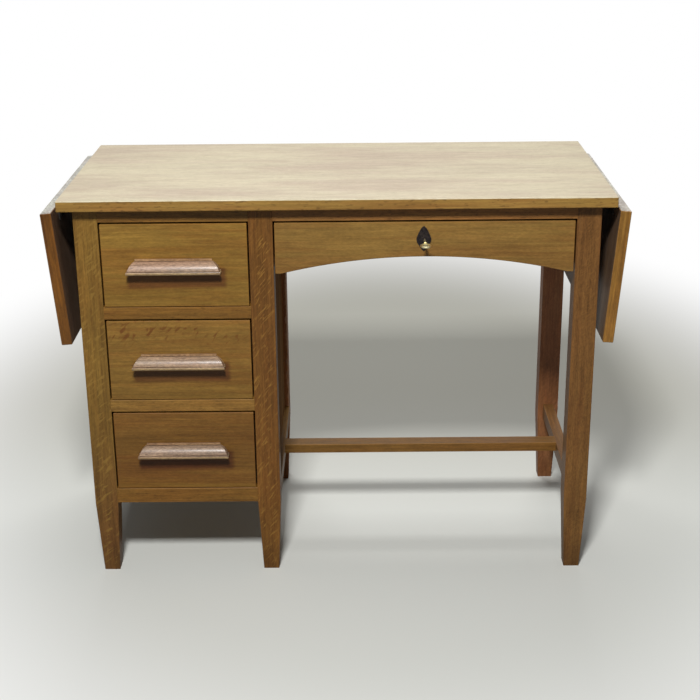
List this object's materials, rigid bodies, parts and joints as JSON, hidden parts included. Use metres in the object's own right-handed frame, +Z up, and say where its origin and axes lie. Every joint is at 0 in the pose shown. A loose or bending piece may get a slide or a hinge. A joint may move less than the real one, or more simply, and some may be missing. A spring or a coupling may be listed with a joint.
{
  "type": "drop-leaf writing desk",
  "caption": "Writing desk with a pedestal of drawers, an arched lockable drawer over the kneehole, tapered legs, stretchers and a hinged leaf at each end.",
  "frame": {"origin": "on the floor, under the middle of the space that the desk fills with its leaves hanging and the key in its lock", "axes": "+X along the front towards the kneehole, +Y from the front to the back, +Z up; the drawers open towards -Y"},
  "size_m": [1.0599, 0.509, 0.76],
  "materials": {
    "oak_top": "worn gloss varnish",
    "oak_leaf": "worn gloss varnish",
    "oak_frame": "satin varnish, quarter-sawn figure",
    "oak_leg_golden": "satin varnish, quarter-sawn figure",
    "oak_leg_brown": "satin varnish, quarter-sawn figure",
    "oak_panel": "satin varnish",
    "oak_apron": "satin varnish",
    "oak_drawer_front": "satin varnish, fine straight grain",
    "oak_arch_front": "satin varnish, fine straight grain",
    "oak_pull": "satin varnish, slightly pink",
    "oak_drawer_side": "bare, planed",
    "ply_bottom": "bare, sanded",
    "beech_inside": "bare, planed",
    "beech_loper": "bare, waxed by use",
    "bronze_plate": "dark, dull",
    "iron_lock": "dull, a little worn",
    "brass_key": "polished by use",
    "steel_hinge": "dull"
  },
  "bodies": {
    "frame": {"desk_top": "oak_top", "leg_front_left": "oak_leg_golden", "leg_front_middle": "oak_leg_brown", "leg_front_right": "oak_leg_brown", "leg_back_left": "oak_leg_golden", "leg_back_middle": "oak_leg_brown", "leg_back_right": "oak_leg_brown", "pedestal_top_rail": "oak_frame", "drawer_rail_upper": "oak_frame", "drawer_rail_lower": "oak_frame", "pedestal_bottom_rail": "oak_frame", "kneehole_top_rail": "oak_frame", "side_rail_outer": "oak_frame", "side_rail_inner": "oak_frame", "stretcher_right": "oak_frame", "stretcher_long": "oak_frame", "panel_outer": "oak_panel", "panel_inner": "oak_panel", "panel_back": "oak_panel", "apron_right": "oak_apron", "apron_back": "oak_apron", "drawer_runners": "beech_inside", "drawer_stops": "beech_inside", "loper_guides": "beech_inside", "hinge_plates_top": "steel_hinge", "top_blocks": "beech_inside"},
    "leaf_left": {"leaf_left": "oak_leaf", "hinge_flaps_left": "steel_hinge"},
    "leaf_right": {"leaf_right": "oak_leaf", "hinge_flaps_right": "steel_hinge"},
    "loper_left": {"loper_left": "beech_loper"},
    "loper_right": {"loper_right": "beech_loper"},
    "drawer_lower": {"drawer_lower_front": "oak_drawer_front", "drawer_lower_side_left": "oak_drawer_side", "drawer_lower_side_right": "oak_drawer_side", "drawer_lower_back": "oak_drawer_side", "drawer_lower_bottom": "ply_bottom", "drawer_lower_pull": "oak_pull"},
    "drawer_middle": {"drawer_middle_front": "oak_drawer_front", "drawer_middle_side_left": "oak_drawer_side", "drawer_middle_side_right": "oak_drawer_side", "drawer_middle_back": "oak_drawer_side", "drawer_middle_bottom": "ply_bottom", "drawer_middle_pull": "oak_pull"},
    "drawer_upper": {"drawer_upper_front": "oak_drawer_front", "drawer_upper_side_left": "oak_drawer_side", "drawer_upper_side_right": "oak_drawer_side", "drawer_upper_back": "oak_drawer_side", "drawer_upper_bottom": "ply_bottom", "drawer_upper_pull": "oak_pull"},
    "drawer_knee": {"drawer_knee_front": "oak_arch_front", "drawer_knee_side_left": "oak_drawer_side", "drawer_knee_side_right": "oak_drawer_side", "drawer_knee_back": "oak_drawer_side", "drawer_knee_bottom": "ply_bottom", "escutcheon": "bronze_plate", "lock_case": "iron_lock"},
    "lock_bolt": {"lock_bolt": "brass_key"},
    "key": {"key": "brass_key"}
  },
  "joints": [
    {"name": "drawer_lower_slide", "type": "slide", "parent": "frame", "child": "drawer_lower", "axis": [0, -1, 0], "range_m": [0, 0.3]},
    {"name": "drawer_middle_slide", "type": "slide", "parent": "frame", "child": "drawer_middle", "axis": [0, -1, 0], "range_m": [0, 0.3]},
    {"name": "drawer_upper_slide", "type": "slide", "parent": "frame", "child": "drawer_upper", "axis": [0, -1, 0], "range_m": [0, 0.3]},
    {"name": "drawer_knee_slide", "type": "slide", "parent": "frame", "child": "drawer_knee", "axis": [0, -1, 0], "range_m": [0, 0.3]},
    {"name": "leaf_left_hinge", "type": "hinge", "parent": "frame", "child": "leaf_left", "pos_m": [-0.5075, 0.0155, 0.7355], "axis": [0, 1, 0], "range_deg": [-1.5, 94.46]},
    {"name": "leaf_right_hinge", "type": "hinge", "parent": "frame", "child": "leaf_right", "pos_m": [0.5035, 0.0155, 0.7355], "axis": [0, -1, 0], "range_deg": [-1.5, 94.46]},
    {"name": "loper_left_slide", "type": "slide", "parent": "frame", "child": "loper_left", "axis": [-1, 0, 0], "range_m": [0, 0.026]},
    {"name": "loper_right_slide", "type": "slide", "parent": "frame", "child": "loper_right", "axis": [1, 0, 0], "range_m": [0, 0.026]},
    {"name": "bolt_slide", "type": "slide", "parent": "drawer_knee", "child": "lock_bolt", "axis": [0, 0, 1], "range_m": [0, 0.0065]},
    {"name": "key_turn", "type": "hinge", "parent": "drawer_knee", "child": "key", "pos_m": [0.1585, -0.2015, 0.678], "axis": [0, -1, 0], "range_deg": [0, 180]}
  ],
  "couplings": [
    {"joint": "key_turn", "follows": "bolt_slide", "rad_per_m": 483.32}
  ]
}
